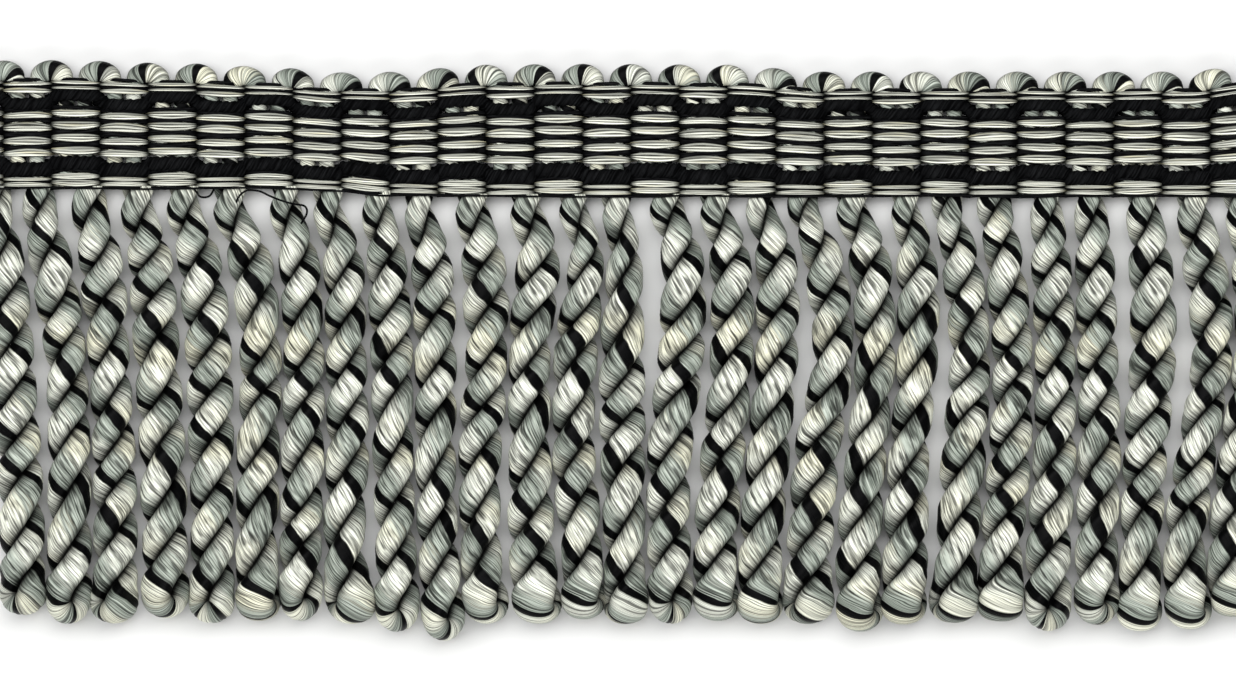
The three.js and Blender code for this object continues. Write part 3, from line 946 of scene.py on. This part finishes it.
@dataclass(frozen=True)
class BenchFinish:
    """Plain pale paper that the trim lies on."""

    paper: tuple[float, float, float] = (0.76, 0.76, 0.755)
    mottled: tuple[float, float, float] = (0.72, 0.72, 0.71)
    mottle_scale: float = 30.0
    mottle_span: Span = Span(0.3, 0.7, top=0.04)

    def build(self) -> bpy.types.Material:
        """Makes the material.

        Returns:
            The finished material.
        """
        board = NodeBoard("bench_paper")
        place = board.add("ShaderNodeTexCoord").outputs["Object"]
        mottle = board.spread(board.noise(place, self.mottle_scale), self.mottle_span)
        board.coloured(board.tinted(mottle, self.paper, self.mottled))
        board.set(Roughness=0.9, Specular_IOR_Level=0.1)
        return board.material


@dataclass
class PlySection:
    """Cross-section of one ply of a bullion, flattened where it lies against the other."""

    offset: float = 1.55
    outward: float = 1.68
    inward: float = 1.66
    half_width: float = 2.32
    fullness: float = 0.98
    inward_fullness: float = 0.72
    contact_gap: float = 0.05
    measured_at: int = 721
    angles: np.ndarray = field(init=False)
    shares: np.ndarray = field(init=False)

    def __post_init__(self) -> None:
        """Measures the section's edge, so that places on it can be spaced evenly."""
        self.angles = np.linspace(-math.pi, math.pi, self.measured_at)
        lengths = travelled(*self.outline(self.angles))
        self.shares = lengths / lengths[-1]

    def outline(self, angle: np.ndarray) -> tuple[np.ndarray, np.ndarray]:
        """Places on the section's edge.

        Args:
            angle: angles from straight outwards.

        Returns:
            How far outward and how far sideways the edge lies there.
        """
        faces_out = np.cos(angle) > 0.0
        reach = np.where(faces_out, self.outward, self.inward)
        power = np.where(faces_out, self.fullness, self.inward_fullness)
        out = reach * signed_power(np.cos(angle), power)
        side = self.half_width * signed_power(np.sin(angle), power)
        return np.maximum(out, self.contact_gap - self.offset), side

    def spaced(self, turn: np.ndarray) -> tuple[np.ndarray, np.ndarray]:
        """Outward and sideways place at an even share of the way round, from the inside."""
        return self.outline(np.interp(turn, self.shares, self.angles))


@dataclass(frozen=True)
class Fold:
    """Course of a bullion's cord down one leg, round the end and up the other, before the twist.

    Each has one value for a step along the cord. Leg is -1 on the left leg and 1 on the right
    one. End says how far outwards points down there.
    """

    leg: np.ndarray
    end: np.ndarray
    depth: np.ndarray
    phase: np.ndarray
    travelled: np.ndarray


@dataclass
class BullionSkirt:
    """The row of bullions: weft cord folded and twisted back on itself.

    Lengths run down from the root or up from the tip. Paces are turns of the strands for each half
    turn of the bullion.
    """

    around: int = 30
    leg_steps: int = 118
    turn_steps: int = 44
    joining_steps: int = 4
    buried: float = 0.12
    root_lift: float = 1.55
    full_lift: float = 3.2
    rise_length: float = 4.5
    root_share: float = 0.75
    root_length: float = 14.0
    root_flatness: float = 0.42
    swell_from: float = 9.0
    swell_to: float = 4.0
    tip_fullness: float = 0.36
    full_from: float = 8.5
    full_to: float = 3.0
    half_turn: float = 6.48
    black_share: float = 0.08
    front_pace: float = 1.15
    bend_turns: float = 1.0
    full_turn_pace: float = 2.38
    slack_length: float = 6.3
    slack_twist: float = 2.3
    groove_depth: float = 0.12
    groove_width: float = 0.05
    groove_places: tuple[float, ...] = (0.0, 0.15, 0.6, 1.0)
    groove_starts: float = -0.9
    outside_starts: float = -0.6
    first_seed: int = 500
    puff_length: float = 9.0
    puff_out: float = 0.035
    puff_side: float = 0.03
    free_room: float = 9.0
    neighbour_gap: float = 0.1
    # Outward place at which the painted crease shade is darkest.
    crease_out: float = -1.45
    section: PlySection = field(default_factory=PlySection)

    def axis_x(self, number: int, depth: np.ndarray) -> np.ndarray:
        """Sideways place of a bullion's axis.

        Args:
            number: the bullion's column.
            depth: depths along it.

        Returns:
            The places at those depths.
        """
        row = BULLIONS[number]
        stations = np.array((*SWAY_DEPTHS, row.tip))
        return column_x(number) + flowing(stations, np.array(row.sway), depth)

    def half_turns(self, row: Bullion, depth: np.ndarray) -> np.ndarray:
        """Half turns of twist from the first valley down.

        Args:
            row: the bullion's place.
            depth: depths along it.

        Returns:
            The half turns at those depths.
        """
        valleys = np.array(row.valleys)
        above = valleys[0] - self.half_turn
        below = valleys[-1] + self.half_turn
        stations = np.array((above, *valleys, below))
        counts = np.arange(-1.0, len(valleys) + 1.0)
        turns = curve(stations, counts, np.gradient(counts, stations), depth)
        return turns + (depth - np.clip(depth, above, below)) / self.half_turn

    def twist_depth(self, row: Bullion, depth: np.ndarray) -> np.ndarray:
        """Depth whose twist a place has: the twist dies out towards the end of the loop."""
        below = np.maximum(depth - (row.tip - self.slack_length), 0.0)
        return depth - below + self.slack_twist * np.tanh(below / self.slack_twist)

    def leg_phase(self, row: Bullion, right: bool, turns: np.ndarray) -> np.ndarray:
        """Phase of the strands along the middle of the outside of a leg.

        Args:
            row: the bullion's place.
            right: whether it is the leg that starts on the right.
            turns: half turns of the bullion's twist from the first valley.

        Returns:
            The phases. They bring the black strand to the front where the row says.
        """
        first = 1 if right else 0
        stations = np.arange(first, len(row.black), 2) - 0.5
        black = np.array(row.black[first::2])
        steps = (np.diff(black) - self.full_turn_pace + 0.5) % 1.0 - 0.5 + self.full_turn_pace
        fronts = black[0] + np.concatenate(([0.0], np.cumsum(steps)))
        paces = np.full(len(stations), self.front_pace)
        phase = curve(stations, fronts, paces, turns)
        phase += self.front_pace * (turns - np.clip(turns, stations[0], stations[-1]))
        return self.black_share - phase if right else self.black_share + phase

    def fold(self, number: int, root: float) -> Fold:
        """Lays out a bullion's cord before it is twisted.

        Args:
            number: the bullion's column.
            root: depth at which its legs start.

        Returns:
            The cord's course.
        """
        row = BULLIONS[number]
        section = self.section
        turn_depth = row.tip - section.offset - section.outward
        down = np.linspace(root, turn_depth, self.leg_steps + 1)
        swing = np.linspace(0.0, math.pi, self.turn_steps + 1)[1:]
        leg = np.concatenate(
            (np.full(down.shape, -1.0), -np.cos(swing), np.full(self.leg_steps, 1.0))
        )
        end = np.concatenate((np.zeros(down.shape), np.sin(swing), np.zeros(self.leg_steps)))
        depth = np.concatenate(
            (down, turn_depth + section.offset * np.sin(swing), down[::-1][1:])
        )
        leg_turns = self.half_turns(row, down)
        left = self.leg_phase(row, False, leg_turns)
        right = self.leg_phase(row, True, leg_turns)[::-1]
        bend = left[-1] + self.front_pace * section.offset * swing / self.half_turn
        right = right + np.rint(bend[-1] + self.bend_turns - right[0])
        shift = right[0] - bend[-1]
        bend_share = smooth_share(
            np.arange(len(leg)),
            self.leg_steps - self.joining_steps,
            self.leg_steps + self.turn_steps + self.joining_steps,
        )
        phase = np.concatenate((left, bend, right[1:] - shift)) + shift * bend_share
        return Fold(leg, end, depth, phase, travelled(leg * section.offset, depth))

    def room(self, number: int, depth: np.ndarray) -> np.ndarray:
        """Half width that the neighbours leave a bullion.

        Args:
            number: the bullion's column.
            depth: depths along it.

        Returns:
            The half widths at those depths.
        """
        room = np.full(depth.shape, self.free_room)
        own = self.axis_x(number, depth)
        for other in (number - 1, number + 1):
            if 0 <= other < COLUMN_COUNT:
                apart = np.abs(self.axis_x(other, depth) - own)
                room = np.minimum(room, (apart - self.neighbour_gap) / 2.0)
        return room

    def strand_groove(self, phase: np.ndarray) -> np.ndarray:
        """Depth of the grooves between the strands.

        Args:
            phase: phases of the strands' twist.

        Returns:
            The depths at those phases.
        """
        share = phase - np.floor(phase)
        depth = np.zeros(phase.shape)
        for place in self.groove_places:
            depth += np.exp(-(((share - place) / self.groove_width) ** 2))
        return self.groove_depth * depth

    def skin(
        self, turn: np.ndarray, phase: np.ndarray, puff: np.ndarray
    ) -> tuple[np.ndarray, np.ndarray]:
        """Outward and sideways place of the cord's surface, with its grooves and unevenness.

        Args:
            turn: share of the way round the ply.
            phase: phase of the strands there.
            puff: how puffed up the cord is there, between -1 and 1.

        Returns:
            The two places.
        """
        out, side = self.section.spaced(turn)
        fatness = 1.0 + self.puff_out * puff
        groove = self.strand_groove(phase) * np.clip(out - self.groove_starts, 0.0, 1.0)
        out = np.where(out > self.outside_starts, out * fatness - groove, out)
        return out, side * fatness * (1.0 - self.puff_side * np.abs(puff))

    def bullion(self, number: int) -> bpy.types.Object:
        """Makes one bullion.

        Args:
            number: its column.

        Returns:
            The bullion's object.
        """
        row = BULLIONS[number]
        section = self.section
        name = f"bullion_{number + 1:02d}"
        sheaf = Sheaf(name, 1, self.around, 2 * self.leg_steps + self.turn_steps)
        edge = heading_y(np.array(float(number)), np.array(HEADING_HEIGHT))
        root = -float(edge) - self.buried
        fold = self.fold(number, root)
        step = sheaf.step
        puff = Wander(self.first_seed + number, self.puff_length).at(fold.travelled[step])
        phase = fold.phase[step] - (sheaf.turn - 0.5)
        out, side = self.skin(sheaf.turn, phase, puff)
        u = fold.leg[step] * (section.offset + out)
        depth = fold.depth[step] + out * fold.end[step]

        grown = between(self.root_share, 1.0, smooth_share(depth, root, root + self.root_length))
        swell_share = smooth_share(depth, row.tip - self.swell_from, row.tip - self.swell_to)
        tip_swell = between(1.0, row.swell, swell_share)
        end_share = smooth_share(depth, row.tip - self.full_from, row.tip - self.full_to)
        u = u * grown * tip_swell
        side = side * grown * tip_swell * (1.0 + self.tip_fullness * end_share)
        turned = self.half_turns(row, self.twist_depth(row, depth))
        twist = math.pi / 2.0 - math.pi * turned
        across = u * np.sin(twist) - side * np.cos(twist)
        up = u * np.cos(twist) + side * np.sin(twist)
        reach = (section.offset + section.outward) * tip_swell
        across = across * np.minimum(1.0, self.room(number, depth) / reach)
        risen = smooth_share(depth, root, root + self.rise_length)
        height = between(self.root_lift, self.full_lift, risen)
        height = height + up * between(self.root_flatness, 1.0, risen)
        x = self.axis_x(number, depth) + across
        places = np.stack((x, -depth, np.maximum(height, ABOVE_BENCH)), axis=1)
        strand = np.stack((phase, fold.travelled[step]), axis=1)
        # Painted shade: the attribute darkens the cord towards the crease where the two plies press
        # together.
        return sheaf.roll(places, strand, smooth_share(out, self.crease_out, section.outward))

    def build(self, finish: bpy.types.Material) -> list[bpy.types.Object]:
        """Makes all the bullions.

        Args:
            finish: their material.

        Returns:
            The bullions' objects, from the left.
        """
        return [
            dressed(self.bullion(number), finish, "bullion_skirt")
            for number in range(COLUMN_COUNT)
        ]


@dataclass
class Weft:
    """The thick weft cord inside the heading and the scallops where it turns over."""

    pass_offset: float = 1.28
    arch_centre_down: float = 0.86
    half_width: float = 1.42
    squeezed_width: float = 1.08
    half_thickness: float = 1.3
    squeezed_thickness: float = 1.05
    squeeze_from: float = -0.6
    squeeze_to: float = 0.35
    fullness: float = 0.9
    uneven_seed: int = 71
    uneven_length: float = 13.0
    uneven_pace: float = 0.5
    uneven_size: float = 0.05
    colour_seed: int = 12
    colour_length: float = 5.5
    face_lay: float = -0.09
    # Heights round the section between which the painted crease shade gives way to the painted
    # crown highlight.
    crease_height: float = -0.12
    crown_height: float = 1.15
    around: int = 16
    straight_steps: int = 8
    arch_steps: int = 24

    def build(self, finish: bpy.types.Material) -> bpy.types.Object:
        """Makes the weft: one tube for each turn, and a single pass at each cut end.

        Args:
            finish: its material.

        Returns:
            The weft's object.
        """
        steps = 2 * self.straight_steps + self.arch_steps
        sheaf = Sheaf("weft_cord", COLUMN_COUNT + 1, self.around, steps)
        radius = COLUMN_PITCH / 2.0 - self.pass_offset
        straight = HEADING_HEIGHT - self.arch_centre_down
        arch = math.pi * radius
        pass_marks = np.linspace(0.0, straight, self.straight_steps + 1)
        arch_marks = straight + np.linspace(0.0, arch, self.arch_steps + 1)[1:]
        marks = np.concatenate((pass_marks, arch_marks, straight + arch + pass_marks[1:]))
        tube = sheaf.tube
        run = marks[sheaf.step]
        single = run / marks[-1] * straight
        run = np.where(tube == 0, straight + arch + single, run)
        run = np.where(tube == COLUMN_COUNT, single, run)
        swing = np.clip((run - straight) / radius, 0.0, math.pi)
        out_up = np.sin(swing)
        rise = np.minimum(run, straight) - np.clip(run - straight - arch, 0.0, straight)
        along_down = HEADING_HEIGHT - rise

        angle = FULL_TURN * sheaf.turn + math.pi
        flat = signed_power(np.cos(angle), self.fullness)
        thick = signed_power(np.sin(angle), self.fullness)
        squeezed = smooth_share(along_down - out_up * radius, self.squeeze_from, self.squeeze_to)
        half_width = between(self.half_width, self.squeezed_width, squeezed)
        half_thickness = between(self.half_thickness, self.squeezed_thickness, squeezed)
        reach = radius + half_width * flat
        x = column_x(tube - 0.5) - np.cos(swing) * reach
        down = along_down - out_up * reach
        column = x / COLUMN_PITCH + MIDDLE_COLUMN
        uneven = Wander(self.uneven_seed, self.uneven_length).at(
            tube * WEFT_TUBES_APART + run * self.uneven_pace
        )
        z = WEAVE_MIDDLE + half_thickness * thick * (1.0 + self.uneven_size * uneven)
        places = np.stack((x, heading_y(column, down), z), axis=1)
        starts = np.random.default_rng(self.colour_seed).random(COLUMN_COUNT + 1)
        round_share = sheaf.turn + self.face_lay * np.cos(FULL_TURN * sheaf.turn)
        phase = starts[tube] + run / self.colour_length + round_share
        strand = np.stack((phase, run + WEFT_STRANDS_APART * tube), axis=1)
        # Painted shade on the weft's underside and creases, and a painted highlight on its crown.
        tone = smooth_share(thick, self.crease_height, self.crown_height)
        return dressed(sheaf.roll(places, strand, tone), finish, "scallop_edge")


@dataclass
class WarpSet:
    """Flat warps that pass over and under the weft, column by column.

    A warp is widest in the middle of a column, and pinched aside where it crosses to the other
    face. Each is a few yarns side by side.
    """

    name: str
    slot: str
    rows: tuple[WarpRow, ...]
    around: int
    half_thickness: float
    lift: float = 1.42
    steepness: float = 0.62
    steepest: float = 6.0
    taper: float = 0.50
    pinch_width: float = 0.3
    pinch_shift: float = 0.27
    overlap_width: float = 0.58
    row_wander: float = 0.07
    row_seed: int = 31
    row_length: float = 3.7
    yarn_wander: float = 0.28
    yarn_seed: int = 32
    yarn_length: float = 2.9
    # Where the painted shade at the pinches ends, as shares of the weave's wave.
    shade_from: float = 0.03
    shade_to: float = 0.42
    offsets: tuple[float, ...] = (0.15, 0.27, 0.36, 0.43, 0.475)

    def stations(self) -> np.ndarray:
        """Spaces the steps along a warp closest together where the warps cross.

        Returns:
            Places along the heading, in columns.
        """
        before = tuple(-offset for offset in reversed(self.offsets))
        in_column = np.array((FIRST_CUT, *before, 0.0, *self.offsets))
        columns = np.arange(COLUMN_COUNT)[:, None] + in_column[None, :]
        return np.append(columns.ravel(), LAST_CUT)

    def build(self, finish: bpy.types.Material, node: str) -> bpy.types.Object:
        """Makes the warps of every row in one piece.

        Args:
            finish: their material.
            node: the CAD node that they replace.

        Returns:
            The warps' object.
        """
        yarns = [
            (row, over, number)
            for row in self.rows
            for over in Over
            for number in range(len(row.tones))
        ]
        stations = self.stations()
        sheaf = Sheaf(self.name, len(yarns), self.around, len(stations) - 1)

        def table(read: Callable[[WarpRow, Over, int], float]) -> np.ndarray:
            """One value for each corner, read from its own yarn."""
            return np.array([read(*yarn) for yarn in yarns])[sheaf.tube]

        column = stations[sheaf.step]
        wave = np.cos(math.pi * column)
        even = wave > 0.0
        over = table(lambda row, over, number: over.value)
        count = table(lambda row, over, number: float(len(row.tones)))
        place = table(lambda row, over, number: number - (len(row.tones) - 1) / 2.0)
        row_number = table(lambda row, over, number: float(self.rows.index(row)))
        even_down = table(lambda row, over, number: row.even_down)
        odd_down = table(lambda row, over, number: row.odd_down)
        even_width = table(lambda row, over, number: row.even_width)
        odd_width = table(lambda row, over, number: row.odd_width)
        mean_down = (even_down + odd_down) / 2.0
        mean_width = (even_width + odd_width) / 2.0
        open_share = np.abs(wave) ** self.taper
        pinched = mean_width * self.pinch_width
        width = between(pinched, np.where(even, even_width, odd_width), open_share)
        pinch_down = mean_down - over * self.pinch_shift * mean_width
        down = between(pinch_down, np.where(even, even_down, odd_down), open_share)
        row_place = column + ROWS_APART * row_number + SIDES_APART * over
        down = down + self.row_wander * Wander(self.row_seed, self.row_length).at(row_place)
        yarn_width = width / count
        yarn_place = column + YARNS_APART * sheaf.tube
        drift = self.yarn_wander * Wander(self.yarn_seed, self.yarn_length).at(yarn_place)
        middle = down + (place + drift) * yarn_width

        lifted = WEAVE_MIDDLE + self.lift * signed_power(wave * over, self.steepness)
        heights = signed_power(np.cos(math.pi * stations), self.steepness) * self.lift
        slope = np.gradient(heights, column_x(stations))[sheaf.step] * over
        slope = np.clip(slope, -self.steepest, self.steepest)
        size = np.sqrt(1.0 + slope * slope)

        angle = FULL_TURN * sheaf.turn - math.pi / 2.0
        across = self.overlap_width * yarn_width * np.cos(angle)
        thick = self.half_thickness * np.sin(angle)
        x = column_x(column) - thick * slope / size
        z = np.maximum(lifted + thick / size, WARP_ABOVE_BENCH)
        y = heading_y(column, middle + across)
        run = travelled(column_x(stations), heights)[sheaf.step]
        strand = np.stack(
            (sheaf.turn + 2.0 * sheaf.tube, run + WARP_STRANDS_APART * sheaf.tube), axis=1
        )
        tone = table(lambda row, over, number: row.tones[number])
        # Painted shade: each yarn darkens towards the pinches where the warps cross to the other
        # face.
        tone = tone * smooth_share(np.abs(wave), self.shade_from, self.shade_to)
        piece = sheaf.roll(np.stack((x, y, z), axis=1), strand, tone)
        return dressed(piece, finish, node)


@dataclass
class BlackCordRow:
    """A pair of twisted black cords that pass over the columns by turns."""

    name: str
    node: str
    even_down: float
    odd_down: float
    lift: float = 1.25
    steepness: float = 0.6
    taper: float = 0.6
    pinch_shift: float = 0.4
    plies: int = 3
    thickness: float = 1.0
    flatness: float = 0.9
    half_width: float = 0.98
    ply_radius: float = 0.58
    ply_offset: float = 0.34
    crease_depth: float = 0.12
    lay: float = 3.3
    second_start: float = 1.3
    around: int = 18
    steps_per_column: int = 20

    def build(self, finish: bpy.types.Material) -> bpy.types.Object:
        """Makes the pair of cords.

        Args:
            finish: their material.

        Returns:
            The cords' object.
        """
        steps = COLUMN_COUNT * self.steps_per_column
        sheaf = Sheaf(self.name, 2, self.around, steps)
        column = FIRST_CUT + sheaf.step / self.steps_per_column
        over = 1.0 - 2.0 * sheaf.tube
        wave = np.cos(math.pi * column)
        target = np.where(wave > 0.0, self.even_down, self.odd_down)
        pinch_down = (self.even_down + self.odd_down) / 2.0 - self.pinch_shift * over
        down = between(pinch_down, target, np.abs(wave) ** self.taper)
        lifted = WEAVE_MIDDLE + self.lift * signed_power(wave * over, self.steepness)

        angle = FULL_TURN * sheaf.turn
        x = column_x(column)
        spacing = FULL_TURN / self.plies
        lobe = angle + FULL_TURN * x / self.lay - self.second_start * sheaf.tube
        lobe = (lobe + spacing / 2.0) % spacing - spacing / 2.0
        reach = self.ply_offset * np.cos(lobe) + np.sqrt(
            self.ply_radius**2 - (self.ply_offset * np.sin(lobe)) ** 2
        )
        # Painted sheen: the black yarn's sheen shows on the crests of the plies.
        crest_sheen = smooth_share(
            reach, self.ply_radius - self.crease_depth, self.ply_radius + self.ply_offset
        )
        reach = reach * self.thickness
        y = heading_y(column, down - reach * np.cos(angle) * self.half_width)
        z = np.maximum(lifted + reach * np.sin(angle) * self.flatness, ABOVE_BENCH)
        strand = np.stack(
            (sheaf.turn + x / self.lay, x + CORD_STRANDS_APART * sheaf.tube), axis=1
        )
        piece = sheaf.roll(np.stack((x, y, z), axis=1), strand, crest_sheen)
        return dressed(piece, finish, self.node)


@dataclass(frozen=True)
class ThreadPoint:
    """One point of a loose loop: sideways place, depth and height."""

    x: float
    depth: float
    height: float


LONG_LOOP = (
    ThreadPoint(-50.9, 9.7, 3.0),
    ThreadPoint(-50.75, 9.0, 3.8),
    ThreadPoint(-50.5, 8.3, 4.4),
    ThreadPoint(-49.9, 7.6, 4.7),
    ThreadPoint(-49.0, 7.2, 4.6),
    ThreadPoint(-47.5, 7.35, 4.4),
    ThreadPoint(-46.1, 8.0, 4.7),
    ThreadPoint(-44.3, 8.7, 5.3),
    ThreadPoint(-42.8, 9.1, 5.8),
    ThreadPoint(-41.3, 9.4, 6.3),
    ThreadPoint(-41.0, 10.4, 6.6),
    ThreadPoint(-41.8, 11.8, 5.8),
)

SHORT_LOOP = (
    ThreadPoint(-57.4, 6.8, 2.6),
    ThreadPoint(-56.5, 7.1, 3.6),
    ThreadPoint(-55.6, 8.1, 4.8),
    ThreadPoint(-54.4, 8.0, 4.6),
    ThreadPoint(-53.8, 7.0, 3.0),
)


@dataclass
class BindingThread:
    """Thin dark thread that holds the bullions to the heading, with two loose loops."""

    radius: float = 0.14
    around: int = 6
    edge_steps: int = 540
    loop_steps: int = 90
    below_edge: float = 0.22
    height: float = 2.95
    side_seed: int = 61
    side_wander: float = 0.16
    side_length: float = 5.0
    height_seed: int = 62
    height_wander: float = 0.14
    height_length: float = 2.3

    def along_edge(self) -> np.ndarray:
        """Lays the thread along the heading's bottom edge.

        Returns:
            Points along its path.
        """
        column = np.linspace(FIRST_CUT, LAST_CUT, self.edge_steps + 1)
        aside = self.side_wander * Wander(self.side_seed, self.side_length).at(column)
        risen = self.height_wander * Wander(self.height_seed, self.height_length).at(column)
        y = heading_y(column, HEADING_HEIGHT + self.below_edge + aside)
        return np.stack((column_x(column), y, self.height + risen), axis=1)

    def loop(self, points: tuple[ThreadPoint, ...]) -> np.ndarray:
        """Lays the thread in a loose loop.

        Args:
            points: a few points of the loop.

        Returns:
            Points along its path.
        """
        stations = np.arange(len(points), dtype=float)
        places = np.linspace(0.0, stations[-1], self.loop_steps + 1)
        rows = (
            [point.x for point in points],
            [-point.depth for point in points],
            [point.height for point in points],
        )
        return np.stack([flowing(stations, np.array(row), places) for row in rows], axis=1)

    def tube(self, name: str, path: np.ndarray, finish: bpy.types.Material) -> bpy.types.Object:
        """Makes a thread along a path.

        Args:
            name: name of the piece.
            path: points along the path, in millimetres.
            finish: its material.

        Returns:
            The thread's object.
        """
        sheaf = Sheaf(name, 1, self.around, len(path) - 1)
        heading = np.gradient(path, axis=0)
        heading /= np.linalg.norm(heading, axis=1)[:, None]
        side = np.cross(heading, np.array((0.0, 0.0, 1.0)))
        side /= np.linalg.norm(side, axis=1)[:, None]
        up = np.cross(side, heading)
        angle = FULL_TURN * sheaf.turn
        step = sheaf.step
        places = path[step] + self.radius * (
            side[step] * np.cos(angle)[:, None] + up[step] * np.sin(angle)[:, None]
        )
        strand = np.stack((sheaf.turn, travelled(*path.T)[step]), axis=1)
        return dressed(sheaf.roll(places, strand, np.ones(len(places))), finish)

    def build(self, finish: bpy.types.Material) -> list[bpy.types.Object]:
        """Makes the thread along the edge and its loops.

        Args:
            finish: their material.

        Returns:
            The objects.
        """
        return [
            self.tube("binding_thread", self.along_edge(), finish),
            self.tube("binding_thread_long_loop", self.loop(LONG_LOOP), finish),
            self.tube("binding_thread_short_loop", self.loop(SHORT_LOOP), finish),
        ]


@dataclass(frozen=True)
class Softbox:
    """A large soft lamp: its place and its width and height in metres, and its power in watts."""

    name: str
    place: tuple[float, float, float]
    size: tuple[float, float]
    power: float


SOFTBOXES = (
    Softbox("key", (-0.15, 0.30, 1.0), (2.0, 0.8), 20.2),
    Softbox("fill", (0.10, -0.60, 0.45), (1.2, 0.4), 3.5),
)


@dataclass
class Studio:
    """Pale floor, soft light and the camera above the trim.

    The camera's place and the width of its picture are in millimetres, the rest in metres.
    """

    camera_x: float = 1.54
    camera_y: float = -28.8
    camera_height: float = 1500.0
    frame_width: float = 169.7
    sensor: float = 36.0
    nearest: float = 0.05
    farthest: float = 20.0
    floor_half: float = 3.0
    floor_faces: int = 8
    lamp_aim: tuple[float, float, float] = (0.0, -0.03, 0.0)
    sky_colour: tuple[float, float, float] = (0.97, 0.99, 1.0)
    sky_strength: float = 0.15

    def camera(self) -> None:
        """Places the camera straight above the trim."""
        data = bpy.data.cameras.new("camera")
        data.sensor_width = self.sensor
        data.lens = self.sensor * self.camera_height / self.frame_width
        data.clip_start = self.nearest
        data.clip_end = self.farthest
        camera = bpy.data.objects.new("camera", data)
        camera.location = Vector((self.camera_x, self.camera_y, self.camera_height)) * MM
        bpy.context.scene.collection.objects.link(camera)
        bpy.context.scene.camera = camera

    def floor(self, finish: bpy.types.Material) -> None:
        """Lays the floor.

        Args:
            finish: its material.
        """
        sheet = bmesh.new()
        bmesh.ops.create_grid(
            sheet, x_segments=self.floor_faces, y_segments=self.floor_faces, size=self.floor_half
        )
        mesh = bpy.data.meshes.new("bench")
        sheet.to_mesh(mesh)
        sheet.free()
        mesh.materials.append(finish)
        bench = bpy.data.objects.new("bench", mesh)
        bpy.context.scene.collection.objects.link(bench)

    def lamp(self, softbox: Softbox) -> None:
        """Adds a lamp that looks at the trim.

        Args:
            softbox: its measures.
        """
        data = bpy.data.lights.new(softbox.name, "AREA")
        data.shape = "RECTANGLE"
        data.size, data.size_y = softbox.size
        data.energy = softbox.power
        lamp = bpy.data.objects.new(softbox.name, data)
        lamp.location = softbox.place
        aim = Vector(self.lamp_aim) - Vector(softbox.place)
        lamp.rotation_euler = aim.to_track_quat("-Z", "Y").to_euler()
        bpy.context.scene.collection.objects.link(lamp)

    def sky(self) -> None:
        """Gives the world an even soft light."""
        world = bpy.data.worlds.new("studio")
        world.use_nodes = True
        background = world.node_tree.nodes["Background"]
        background.inputs["Color"].default_value = (*self.sky_colour, 1.0)
        background.inputs["Strength"].default_value = self.sky_strength
        bpy.context.scene.world = world

    def build(self) -> None:
        """Sets up the whole studio."""
        bpy.context.scene.view_settings.view_transform = "Standard"
        self.camera()
        self.floor(BenchFinish().build())
        for softbox in SOFTBOXES:
            self.lamp(softbox)
        self.sky()


def main() -> None:
    """Builds every piece."""
    logging.basicConfig(level=logging.INFO)
    Studio().build()
    cord_finish = MixedCordFinish().build()
    black_finish = BlackYarnFinish()
    bullions = BullionSkirt().build(cord_finish)
    weft = Weft().build(cord_finish)
    ribbon_set = WarpSet(
        "ribbon_warps", "ribbon_yarn", RIBBON_ROWS, around=6, half_thickness=0.2
    )
    ribbons = ribbon_set.build(RibbonFinish().build(), "heading_tape")
    dark_set = WarpSet(
        "dark_warps",
        "black_cord",
        DARK_ROWS,
        around=5,
        half_thickness=0.16,
        lift=1.3,
        pinch_width=1.4,
    )
    dark = dark_set.build(black_finish.build("dark_warp_yarn"), "heading_tape")
    cord_material = black_finish.build("black_cord_yarn")
    upper_row = BlackCordRow(
        "black_cord_upper_pair", "black_cord_upper", even_down=2.15, odd_down=3.45
    )
    upper = upper_row.build(cord_material)
    lower_row = BlackCordRow(
        "black_cord_lower_pair",
        "black_cord_lower",
        even_down=11.55,
        odd_down=12.40,
        thickness=1.2,
    )
    lower = lower_row.build(cord_material)
    BindingThread().build(black_finish.build("binding_thread_yarn"))


if __name__ == "__main__":
    main()
